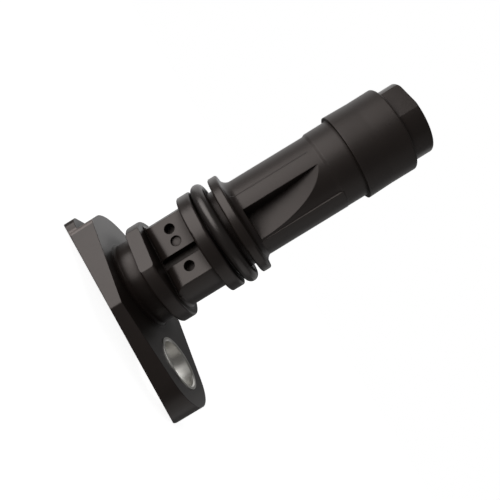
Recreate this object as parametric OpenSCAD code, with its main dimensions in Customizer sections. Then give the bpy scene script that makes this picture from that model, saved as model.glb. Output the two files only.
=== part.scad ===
// Crankshaft position sensor: moulded body with a one-ear flange, a sealed neck and a Hall-effect nose.
// Origin: centre of the flange's seating face, on the barrel's axis. Z runs to the nose, X to the bolt.

/* [Flange] */
// Thickness of the flange
flange_t = 4.0; // [3:0.1:6]
// Distance from the barrel's axis to the bolt
bolt_offset = 12.3; // [11:0.1:18]
// Radius of the ear around the bolt
ear_r = 6.45; // [5.5:0.05:8]
// Shoulder corner, along the line to the bolt
shoulder_x = 4.4; // [2:0.1:7]
// Shoulder corner, out from the centre line
shoulder_y = 9.7; // [9:0.1:12]
// Radius of the shoulder corner
shoulder_r = 0.6; // [0.5:0.1:1.5]
// Heel corner, behind the barrel's axis
heel_x = 7.4; // [6:0.1:9]
// Heel corner, out from the centre line
heel_y = 6.2; // [5:0.1:7]
// Radius of the heel corner
heel_r = 0.9; // [0.5:0.1:1.5]
// How far the rounded tail reaches behind the barrel's axis
tail_reach = 11.6; // [10:0.1:14]
// Radius of the rounded tail
tail_r = 8.1; // [7.6:0.1:9]

/* [Underside] */
// Half width of the flat land under the flange, at the barrel's axis
land_half = 4.15; // [3.6:0.05:5]
// Angle at which the land narrows toward the ear
land_taper = 10.2; // [8:0.1:12]
// Angle of the relief beside the land
relief_angle = 18.9; // [12:0.1:22]
// Reach of the square toe under the tail
toe_reach = 11.25; // [10.8:0.05:12]
// Half width of the toe
toe_half = 6.6; // [6:0.1:6.8]
// Corner radius of the toe
toe_corner = 1.6; // [0.8:0.1:2.5]
// Height of the toe
toe_h = 1.6; // [1:0.1:2.4]

/* [Bush] */
// Bore of the bush, for the bolt
bush_bore = 6.8; // [6.4:0.1:7.2]
// Wall of the bush
bush_wall = 0.5; // [0.4:0.05:0.8]
// How far the bush stands proud of the seating face
bush_proud = 0.1; // [0:0.05:0.2]
// Chamfer at the ends of the bush's bore
bush_chamfer = 0.15; // [0.1:0.05:0.25]
// Width of the spot face for the bolt's head
spot_d = 10.6; // [10:0.1:11.4]
// Depth of the spot face
spot_depth = 0.7; // [0.3:0.1:1.2]

/* [Neck] */
// Diameter of the neck
neck_d = 12.4; // [12:0.1:12.6]
// Height of the foot between the flange and the stop collar
foot_h = 2.7; // [2:0.05:4]
// Fillet at the neck's foot
foot_fillet = 0.4; // [0.2:0.1:0.8]
// Diameter of the stop collar
stop_d = 15.0; // [14.7:0.1:16]
// Height of the stop collar
stop_h = 2.05; // [1.5:0.05:3]
// Distance from the axis to the locating flat on the stop collar
stop_flat = 6.7; // [6.68:0.02:7]
// Fillet between the stop collar and the neck
stop_fillet = 0.45; // [0.2:0.05:0.45]
// Height of the neck above the stop collar
neck_h = 5.9; // [5.6:0.05:8]
// Rounding of the collars' edges
collar_edge = 0.3; // [0.1:0.05:0.45]
// Half width over the pads on the neck's flats
pad_half = 4.0; // [3.7:0.05:4.4]
// Half width of the neck between the flats
web_half = 2.9; // [2.7:0.05:3.3]
// Gap between the stop collar and the pads
pad_gap = 0.75; // [0.4:0.05:1]
// Gap between the pads and the seal's lower land
pad_end_gap = 0.8; // [0.4:0.05:1]
// Rounding of the pads' edge toward the stop collar
pad_round = 0.9; // [0.3:0.05:0.95]
// Place of the slot between the pads, toward the bolt
slot_x = 0.95; // [0.5:0.05:1.4]
// Width of the slot between the pads
slot_w = 1.4; // [0.8:0.05:1.8]
// Distance from the centre line to the slot's floor
slot_floor = 2.7; // [2.65:0.05:2.85]
// Diameter of the three support-pin holes
pin_d = 1.45; // [1.2:0.05:1.6]
// Pitch of the support-pin holes
pin_pitch = 1.97; // [1.8:0.01:2.1]
// Place of the first support-pin hole, away from the bolt
pin_x = 3.1; // [2.9:0.05:3.2]
// How far the holes stand above the middle of the pads
pin_rise = 0.375; // [0:0.025:0.5]
// Depth of the outer two holes
pin_deep = 1.3; // [1:0.05:1.4]
// Depth of the middle hole
pin_shallow = 0.35; // [0.2:0.05:0.8]

/* [Seal] */
// Diameter of the land below the groove
lower_land_d = 14.8; // [14.6:0.1:15]
// Height of the land below the groove
lower_land_h = 2.0; // [1.5:0.05:3]
// Diameter of the groove's floor
groove_d = 11.6; // [11:0.1:12]
// Width of the groove
groove_w = 2.9; // [2.5:0.1:4]
// Diameter of the land above the groove
upper_land_d = 14.7; // [14.4:0.1:15]
// Height of the land above the groove
upper_land_h = 1.4; // [1:0.1:2]
// Section of the O-ring
o_ring_section = 1.9; // [1.6:0.05:1.95]
// Tilt of the loose O-ring, higher toward the bolt
o_ring_tilt = 1.2; // [0:0.1:1.4]
// Gap between the middle of the O-ring and the lower land
o_ring_gap = 0.23; // [0.2:0.01:0.6]

/* [Barrel] */
// Diameter of the shank's lower end
shank_d = 11.24; // [11:0.02:11.4]
// Diameter of the shank's upper end
shank_top_d = 11.0; // [10.8:0.02:11.1]
// Height of the shank
shank_h = 12.55; // [11.5:0.05:16]
// Fillet between the upper land and the shank
shank_fillet = 1.2; // [0.4:0.1:1.3]
// Diameter over the rib that faces the bolt
rib_d = 11.46; // [11.3:0.02:11.6]
// Half width of that rib
rib_half = 2.95; // [2:0.05:3.1]
// Distance from the centre line to the pocket's floor
pocket_floor = 3.15; // [3:0.05:3.6]
// Distance from the centre line to the pocket's side wall
pocket_side = 0.75; // [0.4:0.05:1.2]
// Gap between the upper land and the pocket
pocket_gap = 0.85; // [0.6:0.05:1.2]
// Radius in which the pocket's floor runs out
pocket_runout = 27.5; // [22:0.5:34]
// Diameter of the step below the pilot
step_d = 11.36; // [11.2:0.02:11.5]
// Height of the ramp from the shank to that step
step_ramp = 0.4; // [0.2:0.05:0.8]
// Height of the step below the pilot
step_h = 3.6; // [3:0.1:5]
// Diameter of the pilot's lower end
pilot_base_d = 12.45; // [12.3:0.05:13.2]
// Height of the draft from the pilot's lower end
pilot_draft = 3.6; // [2:0.1:4]
// Diameter of the pilot
pilot_d = 12.2; // [12:0.1:13]
// Height of the pilot
pilot_h = 7.25; // [6:0.05:9]
// Rounding of the pilot's upper rim
pilot_edge = 0.25; // [0.2:0.05:0.6]
// Wall of the barrel around the nose cup's sleeve
barrel_wall = 1.18; // [1.1:0.02:1.25]

/* [Nose] */
// Diameter of the stub nose
stub_d = 10.35; // [10:0.05:10.8]
// Height of the stub nose
stub_h = 3.05; // [2.5:0.05:5]
// Rounding of the nose's rim
stub_edge = 0.3; // [0.1:0.05:0.4]
// Distance from the axis to the flat on the nose
flat_reach = 4.63; // [4.55:0.01:4.9]
// Direction of both locating flats, turned back from the bolt
flat_angle = 105.5; // [95:0.1:110]
// Wall of the cup's sleeve
cup_wall = 0.85; // [0.7:0.05:0.95]
// How far the cup's mouth stands above the shank
mouth_rise = 1.0; // [0.8:0.1:1.2]
// Wall of the cup's end face
tip_wall = 0.85; // [0.6:0.05:1.2]

/* [Socket and terminals] */
// Length of the socket's mouth, toward the bolt
socket_l = 8.0; // [7.6:0.1:8.4]
// Width of the socket's mouth
socket_w = 4.4; // [4.2:0.1:4.6]
// Corner radius of the socket
socket_corner = 0.8; // [0.4:0.1:1.2]
// Depth of the socket from the underside
socket_depth = 10.0; // [9.6:0.1:11]
// Width of the keyway in the socket's wall
key_w = 1.4; // [1:0.1:2]
// Depth of the keyway in the wall
key_t = 0.7; // [0.4:0.1:0.9]
// Length of the keyway from the underside
key_l = 6.5; // [4:0.1:7]
// Pitch of the terminal blades
blade_pitch = 2.4; // [2.2:0.05:2.6]
// Width of a terminal blade
blade_w = 1.2; // [1:0.05:1.4]
// Thickness of a terminal
terminal_t = 0.6; // [0.5:0.05:0.7]
// How far the blades stand in the socket
blade_l = 4.8; // [4:0.1:5.2]
// Width of a terminal's tail
tail_w = 0.8; // [0.6:0.05:0.9]
// Wall between the socket and the lead carrier
socket_web = 1.5; // [1.2:0.1:2]
// Width of the lead carrier, toward the bolt
carrier_l = 6.6; // [6.4:0.1:7]
// Thickness of the lead carrier
carrier_w = 2.8; // [2.4:0.1:3.2]
// Depth of the wide part of a terminal in the carrier
anchor_l = 1.0; // [0.8:0.1:1.2]
// Height above the upper land at which the terminals start to close in
jog_rise = 1.0; // [0.5:0.1:1.5]
// Height over which the terminals close in
jog_h = 6.0; // [5:0.5:7]
// Gap between the terminals and the magnet's platform
terminal_gap = 0.4; // [0.3:0.05:0.6]
// Thickness of the carrier's plug in the cup's mouth
plug_h = 1.0; // [0.8:0.1:1.2]
// Thickness of the carrier's platform under the magnet
platform_t = 0.8; // [0.6:0.1:1]
// Gap left around moulded-in metal
mould_fit = 0.02; // [0.01:0.01:0.05]
// Gap between the nose cup and what it fits
cup_fit = 0.03; // [0.02:0.01:0.06]

/* [Sensing element] */
// Diameter of the bias magnet
magnet_d = 5.0; // [4.5:0.1:5.4]
// Length of the bias magnet
magnet_l = 4.0; // [3:0.1:5]
// Thickness of the pole plate
plate_t = 0.6; // [0.4:0.1:1]
// Length of the Hall chip's body, across its leads
chip_l = 4.0; // [3.6:0.1:4.4]
// Width of the Hall chip's body, along its leads
chip_w = 3.0; // [2.6:0.1:3.4]
// Thickness of the Hall chip's body
chip_t = 1.5; // [1.2:0.1:1.8]
// Gap between the chip and the cup's end face
chip_gap = 0.1; // [0.05:0.05:0.3]
// Pitch of the chip's leads
lead_pitch = 1.27; // [1.2:0.01:1.35]
// Width of a chip lead
lead_w = 0.45; // [0.35:0.05:0.6]
// Thickness of a chip lead
lead_t = 0.25; // [0.2:0.05:0.35]
// Gap between the magnet and the leads
lead_gap = 0.25; // [0.2:0.05:0.4]
// Gap between the platform and the leads below it
lead_drop = 0.85; // [0.7:0.05:1]
// Length of lead that is welded to its terminal
weld_l = 1.6; // [1:0.1:2]
// Rim of the carrier that centres the magnet
rim_h = 1.0; // [0.5:0.1:1.5]
// Height of the capacitors above the carrier's plug
capacitor_rise = 0.3; // [0.2:0.1:0.6]
// Length of a chip capacitor
capacitor_l = 1.1; // [1:0.05:1.2]
// Width and height of a chip capacitor
capacitor_w = 0.5; // [0.4:0.05:0.6]

/* [Hidden] */
$fn = 96;
// Overlap of joined solids and overshoot of cuts
eps = 0.5;
// Heights above the seating face, from the foot to the nose
stop_z = foot_h;
neck_z = stop_z + stop_h;
lower_land_z = neck_z + neck_h;
groove_z = lower_land_z + lower_land_h;
upper_land_z = groove_z + groove_w;
shank_z = upper_land_z + upper_land_h;
step_z = shank_z + shank_h;
pilot_z = step_z + step_h;
stub_z = pilot_z + pilot_h;
tip_z = stub_z + stub_h;
// Fine step on which the neck's fillets stand
foot_step = 0.05;
// Pads on the neck's flats
pad_z = neck_z + pad_gap;
pad_h = neck_h - pad_gap - pad_end_gap;
// Pocket in the shank
pocket_z = shank_z + pocket_gap;
// Flange outline: rounded corners, counter-clockwise from the ear
FLANGE = [
    [bolt_offset, 0, ear_r],
    [shoulder_x, shoulder_y, shoulder_r],
    [-heel_x, heel_y, heel_r],
    [-heel_x, -heel_y, heel_r],
    [shoulder_x, -shoulder_y, shoulder_r]
];
cut_span = 3 * (bolt_offset + ear_r);
bush_d = bush_bore + 2 * bush_wall;
bush_z = spot_depth - flange_t;
// Nose cup
sleeve_d = step_d - 2 * barrel_wall;
cup_bore = sleeve_d - 2 * cup_wall;
mouth_z = step_z + mouth_rise;
// Socket and lead carrier
socket_z = socket_depth - flange_t;
blade_z = socket_z - blade_l;
carrier_z = socket_z + socket_web;
window_z = mouth_z + plug_h;
// Sensing element, stacked down from the cup's end face
chip_z = tip_z - tip_wall - chip_gap - chip_t;
plate_z = chip_z - plate_t;
magnet_z = plate_z - magnet_l;
platform_z = magnet_z - platform_t;
lead_y = magnet_d / 2 + lead_gap;
lead_foot_z = platform_z - lead_drop - lead_t;
weld_z = lead_foot_z + lead_t - weld_l;
terminal_end_z = platform_z - terminal_gap;
capacitor_z = window_z + capacitor_rise;
// Where the terminals close in from the blades' pitch to the leads' pitch
anchor_z = carrier_z + anchor_l;
jog_z = shank_z + jog_rise;

// Direction of the outer tangent's normal from circle a to circle b, each [x, y, r]
function belt_normal(a, b) =
    atan2(b.y - a.y, b.x - a.x) - acos((a.z - b.z) / norm([b.x - a.x, b.y - a.y]));

// The point of circle c in direction t
function rim_point(c, t) = [c.x + c.z * cos(t), c.y + c.z * sin(t)];

// Tangent points of a belt round the circles
function belt_points(circles) = [
    for (i = [0 : len(circles) - 1])
        let (a = circles[i], b = circles[(i + 1) % len(circles)], t = belt_normal(a, b))
            each [rim_point(a, t), rim_point(b, t)]
];

// Belt outline with true arcs at its corners
module belt_2d(circles) {
    polygon(belt_points(circles));
    for (c = circles)
        translate([c.x, c.y]) circle(c.z);
}

// Rectangle with rounded corners, centred
module rounded_2d(l, w, r) {
    x = l / 2 - r;
    y = w / 2 - r;
    belt_2d([[x, y, r], [-x, y, r], [-x, -y, r], [x, -y, r]]);
}

// Half section of a collar: radius r from z0 up, with both rims rounded
module collar_2d(r, z0, h, e) {
    translate([0, z0]) square([r - e, h]);
    translate([0, z0 + e]) square([r, h - 2 * e]);
    for (z = [z0 + e, z0 + h - e])
        translate([r - e, z]) circle(e);
}

// Half section of a turned step: radius r from z0 up, with its upper rim rounded
module step_2d(r, z0, h, e) {
    translate([0, z0]) square([r - e, h]);
    translate([0, z0]) square([r, h - e]);
    translate([r - e, z0 + h - e]) circle(e);
}

// Concave fillet on top of a step at z0, against a wall of radius r
module fillet_2d(r, z0, f) {
    difference() {
        translate([r - eps, z0 - eps]) square([f + eps, f + eps]);
        translate([r + f, z0 + f]) circle(f);
    }
}

// Half section of the body above the flange
module body_2d() {
    translate([0, -eps]) square([neck_d / 2, lower_land_z + 2 * eps]);
    fillet_2d(neck_d / 2, foot_step, foot_fillet);
    fillet_2d(neck_d / 2, neck_z + foot_step, stop_fillet);
    collar_2d(stop_d / 2, stop_z, stop_h, collar_edge);
    collar_2d(lower_land_d / 2, lower_land_z, lower_land_h, collar_edge);
    translate([0, groove_z - eps]) square([groove_d / 2, groove_w + 2 * eps]);
    collar_2d(upper_land_d / 2, upper_land_z, upper_land_h, collar_edge);
    fillet_2d(shank_d / 2, shank_z, shank_fillet);
    polygon([
        [0, shank_z - eps], [shank_d / 2, shank_z - eps],
        [shank_d / 2, shank_z + shank_fillet], [shank_top_d / 2, step_z],
        [step_d / 2, step_z + step_ramp], [step_d / 2, pilot_z],
        [pilot_base_d / 2, pilot_z], [pilot_d / 2, pilot_z + pilot_draft],
        [0, pilot_z + pilot_draft]
    ]);
    step_2d(pilot_d / 2, pilot_z + pilot_draft, pilot_h - pilot_draft, pilot_edge);
}

// Outline of the flange: a belt round its corners and a rounded tail
module flange_2d() {
    belt_2d(FLANGE);
    translate([tail_r - tail_reach, 0]) circle(tail_r);
}

// Flange with its toe and the relief that leaves a flat land along the underside
module flange() {
    difference() {
        translate([0, 0, -flange_t]) {
            linear_extrude(flange_t) flange_2d();
            translate([-toe_reach / 2, 0, 0])
                linear_extrude(toe_h) rounded_2d(toe_reach, 2 * toe_half, toe_corner);
        }
        for (side = [0, 1])
            mirror([0, side, 0])
                translate([0, -land_half, -flange_t])
                rotate([0, 0, land_taper])
                rotate([-relief_angle, 0, 0])
                translate([-cut_span, -cut_span, -cut_span])
                cube([2 * cut_span, cut_span, cut_span]);
    }
}

// Side view of a pad on the neck's flat, with its edge toward the stop collar rounded
module pad_2d() {
    front = pad_half - pad_round;
    translate([-front, pad_z]) square([front, pad_h]);
    translate([-pad_half, pad_z + pad_round]) square([pad_half, pad_h - pad_round]);
    translate([-front, pad_z + pad_round]) circle(pad_round);
}

// One pad, between x0 and x1
module pad(x0, x1) {
    translate([x0, 0, 0])
        rotate([90, 0, 90])
        linear_extrude(x1 - x0) pad_2d();
}

// What the flats take off the neck: all beyond the web, apart from the two pads
module neck_flat_cut() {
    reach = neck_d / 2 + stop_fillet + 0.1;
    difference() {
        intersection() {
            translate([-reach, -reach, neck_z]) cube([2 * reach, reach - web_half, neck_h]);
            translate([0, 0, neck_z]) cylinder(r = reach, h = neck_h);
        }
        pad(-reach, slot_x - slot_w / 2);
        pad(slot_x + slot_w / 2, reach);
    }
    for (hole = [[-pin_x, pin_deep], [pin_pitch - pin_x, pin_shallow], [3 * pin_pitch - pin_x, pin_deep]])
        translate([hole[0], -pad_half - eps, pad_z + pad_h / 2 + pin_rise])
            rotate([-90, 0, 0]) cylinder(d = pin_d, h = hole[1] + eps);
    translate([slot_x - slot_w / 2, -pad_half - eps, pad_z])
        cube([slot_w, pad_half - slot_floor + eps, pad_h]);
}

// Locating flat on one side of a collar or nose, at a distance from the axis
module locating_flat(distance, d, z0, h) {
    rotate([0, 0, -flat_angle])
        translate([distance, -d, z0 - eps])
        cube([d, 2 * d, h + 2 * eps]);
}

// Side view of the pocket's cut: a floor that runs out in a large radius
module pocket_2d() {
    translate([-pocket_floor - pocket_runout, pocket_z])
        intersection() {
            circle(pocket_runout, $fn = 240);
            square(pocket_runout);
        }
}

// Pocket on one side of the shank, on the half toward the bolt
module shank_pocket() {
    translate([pocket_side, 0, 0])
        rotate([90, 0, 90])
        linear_extrude(pilot_d) pocket_2d();
}

// Socket for the harness plug, with its keyway
module socket_cut() {
    translate([0, 0, -flange_t - eps])
        linear_extrude(socket_depth + eps) rounded_2d(socket_l, socket_w, socket_corner);
    translate([-key_w / 2, 0, -flange_t - eps]) cube([key_w, socket_w / 2 + key_t, key_l + eps]);
}

// Stamped outline of a terminal: a pointed blade at x0 that closes in to a tail at x1
module terminal_2d(x0, x1, grow = 0) {
    b = blade_w / 2 + grow;
    s = tail_w / 2 + grow;
    point = blade_w / 5;
    polygon([
        [x0 - point, blade_z], [x0 + point, blade_z],
        [x0 + b, blade_z + blade_w / 2], [x0 + b, anchor_z + grow],
        [x0 + s, anchor_z + grow], [x0 + s, jog_z],
        [x1 + s, jog_z + jog_h], [x1 + s, terminal_end_z + grow],
        [x1 - s, terminal_end_z + grow], [x1 - s, jog_z + jog_h],
        [x0 - s, jog_z], [x0 - s, anchor_z + grow],
        [x0 - b, anchor_z + grow], [x0 - b, blade_z + blade_w / 2]
    ]);
}

// Terminal number i: -1 supply, 0 ground, 1 signal
module terminal(i, grow = 0) {
    t = terminal_t + 2 * grow;
    translate([0, t / 2, 0])
        rotate([90, 0, 0])
        linear_extrude(t) terminal_2d(i * blade_pitch, i * lead_pitch, grow);
}

// Chip lead number i: out of the chip, down past the magnet and in to its terminal
module chip_lead(i) {
    front = terminal_t / 2;
    out_z = chip_z + (chip_t - lead_t) / 2;
    translate([i * lead_pitch - lead_w / 2, 0, 0])
        rotate([90, 0, 90])
        linear_extrude(lead_w)
        polygon([
            [-chip_w / 2, out_z], [-chip_w / 2, out_z + lead_t],
            [-lead_y - lead_t, out_z + lead_t], [-lead_y - lead_t, lead_foot_z],
            [-front - lead_t, lead_foot_z], [-front - lead_t, weld_z],
            [-front, weld_z], [-front, lead_foot_z + lead_t],
            [-lead_y, lead_foot_z + lead_t], [-lead_y, out_z]
        ]);
}

module housing() {
    color([0.13, 0.12, 0.12])
        difference() {
            union() {
                flange();
                rotate_extrude() body_2d();
                intersection() {
                    translate([0, 0, shank_z - eps]) cylinder(d = rib_d, h = shank_h + 2 * eps);
                    translate([0, -rib_half, shank_z - eps]) cube([rib_d, 2 * rib_half, shank_h + 2 * eps]);
                }
            }
            for (side = [0, 1])
                mirror([0, side, 0]) {
                    neck_flat_cut();
                    shank_pocket();
                }
            locating_flat(stop_flat, stop_d, stop_z, stop_h);
            socket_cut();
            for (i = [-1 : 1])
                terminal(i, mould_fit);
            translate([-carrier_l / 2, -carrier_w / 2, carrier_z])
                cube([carrier_l, carrier_w, mouth_z + eps - carrier_z]);
            translate([0, 0, mouth_z]) cylinder(d = sleeve_d + 2 * cup_fit, h = stub_z + eps - mouth_z);
            translate([bolt_offset, 0, -flange_t - eps]) {
                cylinder(d = bush_d + 2 * mould_fit, h = flange_t + 2 * eps);
                cylinder(d = spot_d, h = spot_depth + eps);
            }
        }
}

module nose_cup() {
    color([0.15, 0.14, 0.14])
        difference() {
            union() {
                translate([0, 0, mouth_z]) cylinder(d = sleeve_d, h = stub_z + eps - mouth_z);
                rotate_extrude() step_2d(stub_d / 2, stub_z, stub_h, stub_edge);
            }
            translate([0, 0, mouth_z - eps]) cylinder(d = cup_bore, h = tip_z - tip_wall - mouth_z + eps);
            locating_flat(flat_reach, stub_d, stub_z, stub_h);
        }
}

module o_ring() {
    color([0.08, 0.08, 0.08])
        translate([0, 0, groove_z + o_ring_gap + o_ring_section / 2])
        rotate([0, -o_ring_tilt, 0])
        rotate_extrude()
        translate([groove_d / 2 + mould_fit + o_ring_section / 2, 0]) circle(d = o_ring_section);
}

module mounting_bush() {
    h = bush_proud - bush_z;
    r0 = bush_bore / 2;
    r1 = bush_d / 2;
    color([0.82, 0.82, 0.80])
        translate([bolt_offset, 0, bush_z])
        rotate_extrude()
        polygon([
            [r0 + bush_chamfer, 0], [r1, 0], [r1, h], [r0 + bush_chamfer, h],
            [r0, h - bush_chamfer], [r0, bush_chamfer]
        ]);
}

module lead_carrier() {
    plug_r = cup_bore / 2 - cup_fit;
    front = terminal_t / 2;
    notch_l = 2 * lead_pitch + 2 * lead_w;
    color([0.24, 0.23, 0.22])
        difference() {
            union() {
                translate([-carrier_l / 2, -carrier_w / 2, carrier_z])
                    cube([carrier_l, carrier_w, mouth_z - carrier_z]);
                translate([0, 0, mouth_z]) cylinder(r = plug_r, h = plug_h);
                translate([-carrier_l / 2 + carrier_w / 4, -front, mouth_z])
                    cube([carrier_l - carrier_w / 2, carrier_w / 2 + front, platform_z + eps - mouth_z]);
                translate([0, 0, platform_z]) cylinder(r = plug_r, h = platform_t + rim_h);
            }
            translate([0, 0, magnet_z]) cylinder(d = magnet_d + 2 * mould_fit, h = rim_h + eps);
            translate([-notch_l / 2, -plug_r - eps, platform_z - eps])
                cube([notch_l, plug_r + eps - magnet_d / 2 - lead_gap / 2, platform_t + rim_h + 2 * eps]);
            for (i = [-1 : 1])
                terminal(i, mould_fit);
        }
}

module terminal_supply() { color([0.80, 0.66, 0.38]) terminal(-1); }
module terminal_ground() { color([0.80, 0.66, 0.38]) terminal(0); }
module terminal_signal() { color([0.80, 0.66, 0.38]) terminal(1); }

module hall_ic() {
    color([0.10, 0.10, 0.11])
        translate([-chip_l / 2, -chip_w / 2, chip_z]) cube([chip_l, chip_w, chip_t]);
}

module lead_supply() { color([0.78, 0.78, 0.76]) chip_lead(-1); }
module lead_ground() { color([0.78, 0.78, 0.76]) chip_lead(0); }
module lead_signal() { color([0.78, 0.78, 0.76]) chip_lead(1); }

module bias_magnet() {
    color([0.45, 0.45, 0.47])
        translate([0, 0, magnet_z]) cylinder(d = magnet_d, h = magnet_l);
}

module pole_plate() {
    color([0.60, 0.60, 0.62])
        translate([0, 0, plate_z]) cylinder(d = magnet_d, h = plate_t);
}

// Chip capacitor from the ground terminal to a neighbour on the given side
module capacitor(side) {
    translate([side * lead_pitch / 2 - capacitor_l / 2, -terminal_t / 2 - capacitor_w, capacitor_z])
        cube([capacitor_l, capacitor_w, capacitor_w]);
}

module capacitor_supply() { color([0.62, 0.52, 0.40]) capacitor(-1); }
module capacitor_signal() { color([0.62, 0.52, 0.40]) capacitor(1); }

housing();
nose_cup();
o_ring();
mounting_bush();
lead_carrier();
terminal_supply();
terminal_ground();
terminal_signal();
hall_ic();
lead_supply();
lead_ground();
lead_signal();
bias_magnet();
pole_plate();
capacitor_supply();
capacitor_signal();
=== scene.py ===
import math

import bpy
from mathutils import Matrix, Vector


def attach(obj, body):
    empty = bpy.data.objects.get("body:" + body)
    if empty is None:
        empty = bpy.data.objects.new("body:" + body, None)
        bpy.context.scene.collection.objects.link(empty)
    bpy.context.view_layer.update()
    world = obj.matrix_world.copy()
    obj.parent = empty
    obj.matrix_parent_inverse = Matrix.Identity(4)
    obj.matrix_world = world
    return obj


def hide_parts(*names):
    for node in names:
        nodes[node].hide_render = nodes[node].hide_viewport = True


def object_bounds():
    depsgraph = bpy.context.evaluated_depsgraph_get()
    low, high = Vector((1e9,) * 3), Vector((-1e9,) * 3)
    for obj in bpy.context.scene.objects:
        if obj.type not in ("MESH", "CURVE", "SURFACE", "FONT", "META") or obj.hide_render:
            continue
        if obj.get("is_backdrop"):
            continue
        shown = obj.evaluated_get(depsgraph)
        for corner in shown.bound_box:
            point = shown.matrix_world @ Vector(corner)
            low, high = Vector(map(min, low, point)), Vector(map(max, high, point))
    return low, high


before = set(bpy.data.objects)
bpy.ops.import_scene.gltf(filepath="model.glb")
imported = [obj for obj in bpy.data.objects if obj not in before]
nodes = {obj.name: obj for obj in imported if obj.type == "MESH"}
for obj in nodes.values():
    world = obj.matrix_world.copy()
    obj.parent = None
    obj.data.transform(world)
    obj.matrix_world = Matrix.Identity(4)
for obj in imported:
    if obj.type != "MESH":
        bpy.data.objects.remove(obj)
cad_low, cad_high = (Vector(corner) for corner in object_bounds())

# Terminals: three strips stamped from half-hard brass sheet and tinned, with pointed blades in the socket.
# They are laid in the carrier's mould first, and carry supply, ground and signal up the barrel.


def srgb(code):
    """Linear colour of an sRGB hex code."""
    parts = [int(code[i:i + 2], 16) / 255 for i in (0, 2, 4)]
    return [p / 12.92 if p <= 0.04045 else ((p + 0.055) / 1.055) ** 2.4 for p in parts] + [1]


def add(tree, kind, links=(), **settings):
    """Add a shader node: settings are socket values or properties, links are (socket, output) pairs."""
    made = tree.nodes.new("ShaderNode" + kind)
    for name, value in settings.items():
        socket = name.replace("_", " ")
        if socket in made.inputs:
            made.inputs[socket].default_value = value
        else:
            setattr(made, name, value)
    for socket, output in links:
        tree.links.new(output, made.inputs[socket])
    return made


def new_material(name):
    """A material with the default surface: itself, its tree and its surface shader."""
    made = bpy.data.materials.new(name)
    made.use_nodes = True
    return made, made.node_tree, made.node_tree.nodes["Principled BSDF"]


def wear(node, material):
    """Give a CAD node its finish."""
    nodes[node].data.materials.clear()
    nodes[node].data.materials.append(material)


# Tinned brass: a soft pale shine, with the warm metal showing where the tin is thin.
tinned_brass, tree, surface = new_material("tinned_brass")
place = add(tree, "TexCoord").outputs["Object"]
tin_patch = 1 / 0.8e-3
patches = add(tree, "TexNoise", [("Vector", place)], Scale=tin_patch, Detail=3.0)
tin = add(tree, "ValToRGB", [("Fac", patches.outputs["Fac"])])
tin.color_ramp.elements[0].position = 0.35
tin.color_ramp.elements[0].color = srgb("B99C5E")
tin.color_ramp.elements[1].position = 0.6
tin.color_ramp.elements[1].color = srgb("C9C2AE")
tree.links.new(tin.outputs["Color"], surface.inputs["Base Color"])
surface.inputs["Metallic"].default_value = 1.0
surface.inputs["Roughness"].default_value = 0.34
for node in ("terminal_supply", "terminal_ground", "terminal_signal"):
    wear(node, tinned_brass)

# Lead carrier: a bar of dark grey PBT moulded round the terminals, with a cup for the magnet.
# It holds the electrical parts in place while the housing is moulded over them.
carrier_plastic, tree, surface = new_material("grey_pbt")
place = add(tree, "TexCoord").outputs["Object"]
# Flow marks a few millimetres long, the only pattern on a plain moulding.
flow_mark = 1 / 2.5e-3
flow = add(tree, "TexNoise", [("Vector", place)], Scale=flow_mark, Detail=4.0)
shade = add(tree, "ValToRGB", [("Fac", flow.outputs["Fac"])])
shade.color_ramp.elements[0].color = srgb("37353A")
shade.color_ramp.elements[1].color = srgb("47454A")
tree.links.new(shade.outputs["Color"], surface.inputs["Base Color"])
surface.inputs["Roughness"].default_value = 0.5
wear("lead_carrier", carrier_plastic)

# Bias magnet: a pressed and sintered rare-earth disc with dull nickel plate, dropped into the carrier's cup.
# It magnetises the teeth of the wheel that pass the nose.
plated_magnet, tree, surface = new_material("nickel_plated_magnet")
place = add(tree, "TexCoord").outputs["Object"]
pressed_grain = 1 / 0.15e-3
grain = add(tree, "TexNoise", [("Vector", place)], Scale=pressed_grain, Detail=3.0)
rough = add(tree, "MapRange", [("Value", grain.outputs["Fac"])], To_Min=0.38, To_Max=0.55)
tree.links.new(rough.outputs["Result"], surface.inputs["Roughness"])
surface.inputs["Base Color"].default_value = srgb("A09F9F")
surface.inputs["Metallic"].default_value = 1.0
wear("bias_magnet", plated_magnet)

# Pole plate: a disc punched from soft iron, laid on the magnet.
# It spreads the field evenly under the chip, and has the fine lines of rolled sheet.
rolled_iron, tree, surface = new_material("rolled_iron")
place = add(tree, "TexCoord").outputs["Object"]
roll_line = 1 / 0.1e-3
lines = add(tree, "Mapping", [("Vector", place)], Scale=(roll_line, roll_line / 30, roll_line))
grain = add(tree, "TexNoise", [("Vector", lines.outputs["Vector"])], Scale=1.0, Detail=2.0)
rough = add(tree, "MapRange", [("Value", grain.outputs["Fac"])], To_Min=0.3, To_Max=0.5)
tree.links.new(rough.outputs["Result"], surface.inputs["Roughness"])
surface.inputs["Base Color"].default_value = srgb("8F8E90")
surface.inputs["Metallic"].default_value = 1.0
wear("pole_plate", rolled_iron)

# Hall chip: a black epoxy package, transfer moulded and matt from its mould.
# It lies flat on the pole plate, right behind the end face of the nose.
chip_epoxy, tree, surface = new_material("moulded_epoxy")
place = add(tree, "TexCoord").outputs["Object"]
filler_grain = 1 / 0.12e-3
grain = add(tree, "TexNoise", [("Vector", place)], Scale=filler_grain, Detail=3.0)
relief = add(tree, "Bump", [("Height", grain.outputs["Fac"])], Strength=0.3, Distance=0.01e-3)
tree.links.new(relief.outputs["Normal"], surface.inputs["Normal"])
surface.inputs["Base Color"].default_value = srgb("1D1D1F")
surface.inputs["Roughness"].default_value = 0.62
wear("hall_ic", chip_epoxy)

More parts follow.
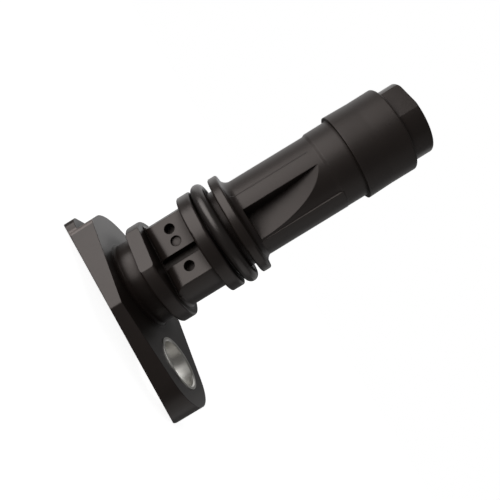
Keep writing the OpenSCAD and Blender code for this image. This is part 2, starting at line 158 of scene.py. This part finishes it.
# Chip leads: three tinned copper-alloy strips, bent down past the magnet.
# Their ends are welded to the terminals.
tinned_copper, tree, surface = new_material("tinned_copper_alloy")
place = add(tree, "TexCoord").outputs["Object"]
grain = add(tree, "TexNoise", [("Vector", place)], Scale=tin_patch, Detail=2.0)
rough = add(tree, "MapRange", [("Value", grain.outputs["Fac"])], To_Min=0.25, To_Max=0.45)
tree.links.new(rough.outputs["Result"], surface.inputs["Roughness"])
surface.inputs["Base Color"].default_value = srgb("C8C6C0")
surface.inputs["Metallic"].default_value = 1.0
for node in ("lead_supply", "lead_ground", "lead_signal"):
    wear(node, tinned_copper)

# Chip capacitors: two fired ceramic blocks with silver-grey metal caps on both ends.
# They are soldered from the ground terminal to its neighbours and keep interference out.
fired_ceramic, tree, surface = new_material("fired_ceramic")
place = add(tree, "TexCoord").outputs["Object"]
layer = 1 / 0.25e-3
grain = add(tree, "TexNoise", [("Vector", place)], Scale=layer, Detail=2.0)
shade = add(tree, "ValToRGB", [("Fac", grain.outputs["Fac"])])
shade.color_ramp.elements[0].color = srgb("8E7457")
shade.color_ramp.elements[1].color = srgb("A98F6E")
tree.links.new(shade.outputs["Color"], surface.inputs["Base Color"])
surface.inputs["Roughness"].default_value = 0.45
for node in ("capacitor_supply", "capacitor_signal"):
    wear(node, fired_ceramic)

# Bush: a sleeve cut from drawn steel tube, zinc plated, set in the flange's ear.
# It takes the bolt's clamping force, so that the plastic isn't crushed.
zinc_steel, tree, surface = new_material("zinc_plated_steel")
place = add(tree, "TexCoord").outputs["Object"]
# Draw lines run along the tube, drawn a little coarser than real ones so that they show.
draw_line = 1 / 0.25e-3
lines = add(tree, "Mapping", [("Vector", place)], Scale=(draw_line, draw_line, draw_line / 15))
grain = add(tree, "TexNoise", [("Vector", lines.outputs["Vector"])], Scale=1.0, Detail=3.0)
rough = add(tree, "MapRange", [("Value", grain.outputs["Fac"])], To_Min=0.32, To_Max=0.48)
tree.links.new(rough.outputs["Result"], surface.inputs["Roughness"])
surface.inputs["Base Color"].default_value = srgb("D2D0CB")
surface.inputs["Metallic"].default_value = 1.0
wear("mounting_bush", zinc_steel)

# Housing: glass-filled black PBT, moulded over the carrier and the bush in one shot.
# Flange, neck, collars, groove, barrel and pilot are all one piece, shown as a corrected copy of the solid.
black_pbt, tree, surface = new_material("black_pbt")
place = add(tree, "TexCoord").outputs["Object"]
height = add(tree, "SeparateXYZ", [("Vector", place)]).outputs["Z"]
# A warm black with faint clouds, left by the flow of the melt.
cloud = add(tree, "TexNoise", [("Vector", place)], Scale=flow_mark, Detail=3.0)
shade = add(tree, "ValToRGB", [("Fac", cloud.outputs["Fac"])])
shade.color_ramp.elements[0].color = srgb("1E1917")
shade.color_ramp.elements[1].color = srgb("26201D")
# A painted highlight: the flange's front heel is drawn pale up the whole corner, where its rounded edge
# catches the light.
highlight_heel = (-8.85e-3, -6.68e-3, 0.0)
highlight_reach = 0.5e-3
highlight_core = 0.8 * highlight_reach
plan = add(tree, "VectorMath", [(0, place)], operation="MULTIPLY")
plan.inputs[1].default_value = (1.0, 1.0, 0.0)
away = add(tree, "VectorMath", [(0, plan.outputs["Vector"])], operation="DISTANCE")
away.inputs[1].default_value = highlight_heel
heel_highlight = add(tree, "MapRange", [("Value", away.outputs["Value"])],
             From_Min=highlight_core, From_Max=highlight_reach, To_Min=1.0, To_Max=0.0)
pale = add(tree, "MixRGB", [("Fac", heel_highlight.outputs["Result"]), ("Color1", shade.outputs["Color"])],
           Color2=srgb("625A57"))
tree.links.new(pale.outputs["Color"], surface.inputs["Base Color"])
surface.inputs["Specular Tint"].default_value = srgb("FFF4EF")
surface.inputs["IOR"].default_value = 1.5
# The sealing end is polished in the mould. The barrel above it has the duller skin of spark erosion.
shank_foot = 16.95e-3
shank_fillet = 1.2e-3
polished, eroded = 0.32, 0.44
dull = add(tree, "MapRange", [("Value", height)], name="dull",
           From_Min=shank_foot, From_Max=shank_foot + shank_fillet, To_Min=polished, To_Max=eroded)
tree.links.new(dull.outputs["Result"], surface.inputs["Roughness"])
# The eroded grain is drawn at a fifth of a millimetre, coarser than the real one, so that it shows.
eroded_grain = 1 / 0.2e-3
grain_depth = 0.01e-3
grain = add(tree, "TexNoise", [("Vector", place)], Scale=eroded_grain, Detail=3.0, Roughness=0.6)
moulded_edge = 0.15e-3
edges = add(tree, "Bevel", Radius=moulded_edge, samples=8)
skin = add(tree, "Bump", [("Height", grain.outputs["Fac"]), ("Normal", edges.outputs["Normal"])], name="skin",
           Strength=0.5, Distance=grain_depth)
# Painted shade: corners, slots and the land round the neck shine less than open skin, the more closed in they
# are.
corner_reach = 4e-3
open_air = add(tree, "AmbientOcclusion", Distance=corner_reach, samples=16)
shaded_level, open_level = 0.15, 0.5
shine = add(tree, "MapRange", [("Value", open_air.outputs["AO"])],
            From_Min=0.55, From_Max=0.8, To_Min=shaded_level, To_Max=open_level)
# Painted shade: the corner round the neck's foot shines least, from just above the land to the top of its
# fillet.
foot_corner = 0.5e-3
shine_kept = 0.2
corner_start = add(tree, "MapRange", [("Value", height)],
                   From_Min=0.0, From_Max=foot_corner / 10, To_Min=1.0, To_Max=shine_kept)
corner_end = add(tree, "MapRange", [("Value", height)],
                 From_Min=foot_corner, From_Max=2 * foot_corner, To_Min=shine_kept, To_Max=1.0)
corner = add(tree, "Math", [(0, corner_start.outputs["Result"]), (1, corner_end.outputs["Result"])],
             operation="MAXIMUM")
left = add(tree, "Math", [(0, shine.outputs["Result"]), (1, corner.outputs["Value"])], operation="MULTIPLY")
tree.links.new(left.outputs["Value"], surface.inputs["Specular IOR Level"])
# The mould's halves leave a fine raised line up the shank's front, from the top collar to the step.
line_half = 0.1e-3
line_rise = 0.04e-3
line_middle = 22.9e-3
line_reach = 5.7e-3
line_faces = (-0.259, -0.966, 0)
line_side = (0.966, -0.259, 0)
across = add(tree, "VectorMath", [(0, place)], operation="DOT_PRODUCT")
across.inputs[1].default_value = line_side
aside = add(tree, "Math", [(0, across.outputs["Value"])], operation="ABSOLUTE")
ridge = add(tree, "MapRange", [("Value", aside.outputs["Value"])],
            From_Min=0.0, From_Max=line_half, To_Min=1.0, To_Max=0.0)
front = add(tree, "VectorMath", [(0, place)], operation="DOT_PRODUCT")
front.inputs[1].default_value = line_faces
ahead = add(tree, "Math", [(0, front.outputs["Value"])], operation="GREATER_THAN")
ahead.inputs[1].default_value = 0.0
between = add(tree, "Math", [(0, height)], operation="COMPARE")
between.inputs[1].default_value = line_middle
between.inputs[2].default_value = line_reach
there = add(tree, "Math", [(0, ahead.outputs["Value"]), (1, between.outputs["Value"])], operation="MULTIPLY")
flash = add(tree, "Math", [(0, ridge.outputs["Result"]), (1, there.outputs["Value"])], operation="MULTIPLY")
relief = add(tree, "Bump", [("Height", flash.outputs["Value"]), ("Normal", skin.outputs["Normal"])],
             Strength=1.0, Distance=line_rise)
tree.links.new(relief.outputs["Normal"], surface.inputs["Normal"])
wear("housing", black_pbt)
# The copy that is shown: its points are merged, and its sharp edges kept.
same_point = 1e-6
body = nodes["housing"].copy()
body.data = nodes["housing"].data.copy()
body.name = "moulded_body"
bpy.context.collection.objects.link(body)
bpy.ops.object.select_all(action="DESELECT")
bpy.context.view_layer.objects.active = body
body.select_set(True)
bpy.ops.object.mode_set(mode="EDIT")
bpy.ops.mesh.select_all(action="SELECT")
bpy.ops.mesh.remove_doubles(threshold=same_point, use_sharp_edge_from_normals=True)
bpy.ops.object.mode_set(mode="OBJECT")
# The flange's sides run straight on, a millimetre further toward the tail than on the solid: both heel arcs
# slide along, the bulge before them is pressed flat, and the tail's rim follows. Turns are in degrees.
heel, heel_r = Vector((-7.4e-3, -6.2e-3)), 0.9e-3
tail, tail_r = Vector((-3.5e-3, 0.0)), 8.1e-3
slide = Vector((-1.02e-3, 0.29e-3))
toe_top = -2.3e-3
side_turn, toe_turn, heel_turn = 255.0, 230.0, 205.5
bulge_turn, join_turn, rim_turn, free_turn = 266.5, 242.0, 234.4, 209.7
on_arc, turn_slack = 0.02e-3, 1.0
# The neck's pads run on to both collars: their rounded starts are drawn out, and their ends are longer.
neck_r, pad_root = 6.25e-3, 2.65e-3
pad_start, pad_face, pad_end = 5.5e-3, 6.4e-3, 9.85e-3
pad_stretch, pad_longer = 1.7, 0.75e-3


def pointing(degrees):
    """Unit vector in plan at this turn."""
    return Vector((math.cos(math.radians(degrees)), math.sin(math.radians(degrees))))


def turn_of(offset):
    """Turn of a vector in plan, from 0 to 360 degrees."""
    return math.degrees(math.atan2(offset.y, offset.x)) % 360.0


heel_end = heel + slide + heel_r * pointing(heel_turn)
free_rim = tail + tail_r * pointing(free_turn)
for vertex in body.data.vertices:
    x, y, z = vertex.co
    if abs(y) > pad_root and Vector((x, y)).length < neck_r:
        if abs(z - pad_end) < on_arc:
            vertex.co.z = pad_end + pad_longer
        elif pad_start - on_arc < z < pad_face:
            vertex.co.z = pad_face - (pad_face - z) * pad_stretch
    if z > on_arc:
        continue
    # Both sides are worked out on the front one.
    spot = Vector((x, -abs(y)))
    from_heel, from_tail = spot - heel, spot - tail
    arc, rim = turn_of(from_heel), turn_of(from_tail)
    on_heel = abs(from_heel.length - heel_r) < on_arc
    on_tail = abs(from_tail.length - tail_r) < on_arc
    if on_heel and heel_turn - turn_slack < arc < side_turn + turn_slack:
        part = (side_turn - arc) / (side_turn - heel_turn)
        last = heel_turn if z > toe_top else toe_turn
        spot = heel + slide + heel_r * pointing(side_turn + part * (last - side_turn))
    elif on_tail and free_turn < rim < rim_turn:
        spot = heel_end.lerp(free_rim, (rim_turn - rim) / (rim_turn - free_turn))
    elif on_tail and join_turn < rim < bulge_turn:
        spot -= (from_heel.dot(pointing(side_turn)) - heel_r) * pointing(side_turn)
    vertex.co = (spot.x, math.copysign(spot.y, y), z)
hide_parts("housing")
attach(body, "root")

# Nose cup: the same black PBT from a smoother mould, pushed into the barrel over the sensing parts.
# Its closed end is the stub beyond the pilot, with a locating flat on one side.
smooth_pbt = black_pbt.copy()
smooth_pbt.name = "smooth_black_pbt"
smooth_grain, smooth_skin = 0.2, 0.3
smooth_pbt.node_tree.nodes["skin"].inputs["Strength"].default_value = smooth_grain
smooth_pbt.node_tree.nodes["dull"].inputs["To Max"].default_value = smooth_skin
wear("nose_cup", smooth_pbt)

# O-ring: black nitrile rubber, moulded smooth and slightly greased, rolled into the groove.
# It lies loose there, a little askew.
nitrile, tree, surface = new_material("nitrile_rubber")
place = add(tree, "TexCoord").outputs["Object"]
smear = 1 / 1.5e-3
film = add(tree, "TexNoise", [("Vector", place)], Scale=smear, Detail=2.0)
rough = add(tree, "MapRange", [("Value", film.outputs["Fac"])], To_Min=0.28, To_Max=0.38)
tree.links.new(rough.outputs["Result"], surface.inputs["Roughness"])
surface.inputs["Base Color"].default_value = srgb("1D1917")
surface.inputs["Specular Tint"].default_value = srgb("FFF6F2")
surface.inputs["Specular IOR Level"].default_value = 0.75
wear("o_ring", nitrile)

# Floor: white paper under the flange's land, which keeps a faint shadow of the part.
# It is as white as the backdrop to the eye, seen from above, and clear from below.
floor_span = 4.0
bpy.ops.mesh.primitive_plane_add(size=floor_span, location=(0, 0, cad_low[2]))
floor = bpy.context.object
floor.name = "floor"
white_paper, tree, surface = new_material("white_paper")
surface.inputs["Base Color"].default_value = srgb("F0F0F0")
surface.inputs["Roughness"].default_value = 1.0
surface.inputs["Specular IOR Level"].default_value = 0.0
surface.inputs["Emission Color"].default_value = (1, 1, 1, 1)
surface.inputs["Emission Strength"].default_value = 0.88
below = add(tree, "NewGeometry").outputs["Backfacing"]
clear = add(tree, "BsdfTransparent").outputs["BSDF"]
either = add(tree, "MixShader", [(0, below), (1, surface.outputs["BSDF"]), (2, clear)])
tree.links.new(either.outputs["Shader"], tree.nodes["Material Output"].inputs["Surface"])
floor.data.materials.append(white_paper)
# The part is lit and mirrored by the studio alone, so the paper shows itself only to the eye.
floor.visible_glossy = False
floor.visible_diffuse = False
floor.visible_shadow = False
floor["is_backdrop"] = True

# Backdrop: a white sweep to the eye, without an edge.
# As a light it is brightest behind the tail, more so to mirrors, and dim round the camera.
studio = bpy.data.worlds.new("studio")
bpy.context.scene.world = studio
studio.use_nodes = True
tree = studio.node_tree
path = add(tree, "LightPath")
toward = add(tree, "TexCoord").outputs["Generated"]
behind_tail = Vector((-0.79, 0.55, 0.26)).normalized()
facing = add(tree, "VectorMath", [(0, toward)], operation="DOT_PRODUCT")
facing.inputs[1].default_value = behind_tail
mirrored = add(tree, "Math", operation="MAXIMUM",
               links=[(0, path.outputs["Is Glossy Ray"]), (1, path.outputs["Is Transmission Ray"])])
dim, bright, mirror_bright = 0.12, 0.7, 0.9
peak = add(tree, "MapRange", [("Value", mirrored.outputs["Value"])], To_Min=bright, To_Max=mirror_bright)
level = add(tree, "MapRange", [("Value", facing.outputs["Value"]), ("To Max", peak.outputs["Result"])],
            From_Min=0.8, From_Max=0.9, To_Min=dim)
soft = add(tree, "Background", [("Strength", level.outputs["Result"])], Color=(1, 1, 1, 1))
white = add(tree, "Background", Color=(1, 1, 1, 1), Strength=1.0)
both = add(tree, "MixShader", [(0, path.outputs["Is Camera Ray"]), (1, soft.outputs["Background"]),
                               (2, white.outputs["Background"])])
tree.links.new(both.outputs["Shader"], tree.nodes["World Output"].inputs["Surface"])

# Lamps: a wide soft panel, low at the left of the camera, whose mirror image lights the flats,
# a weak one at the right, which lifts the barrel's far side, and a faint one behind. Metres and watts.
for name, aim, far, wide, high, power in (
        ("panel", Vector((-0.565, -0.807, -0.14)), 0.25, 0.325, 0.235, 0.66),
        ("fill", Vector((0.95, 0.28, -0.14)), 0.25, 0.25, 0.25, 0.068),
        ("rim", Vector((0.24, 0.945, 0.22)), 0.25, 0.16, 0.16, 0.024)):
    lamp = bpy.data.lights.new(name, "AREA")
    lamp.shape = "RECTANGLE"
    lamp.size = wide
    lamp.size_y = high
    lamp.energy = power
    stand = bpy.data.objects.new(name, lamp)
    bpy.context.collection.objects.link(stand)
    stand.location = (cad_low + cad_high) / 2 + aim * far
    stand.rotation_mode = "QUATERNION"
    stand.rotation_quaternion = aim.to_track_quat("Z", "Y")
    stand.visible_camera = False

# Camera: very close to the part, turned so that the barrel rises to the upper right.
# Its place and its three directions were fitted to the rims in the photograph.
camera_place = (0.02681, -0.07056, 0.02008)
picture_right = Vector((0.4818, 0.2091, 0.8510))
picture_up = Vector((-0.8208, -0.2323, 0.5217))
picture_back = Vector((0.3068, -0.9499, 0.0597))
lens = bpy.data.cameras.new("camera")
lens.sensor_width = 36
lens.lens = 39.6
lens.clip_start = 0.001
camera = bpy.data.objects.new("camera", lens)
bpy.context.collection.objects.link(camera)
turn = Matrix((picture_right, picture_up, picture_back)).transposed()
camera.matrix_world = Matrix.Translation(camera_place) @ turn.to_4x4()
bpy.context.scene.camera = camera
bpy.context.scene.view_settings.view_transform = "Standard"

low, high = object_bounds()
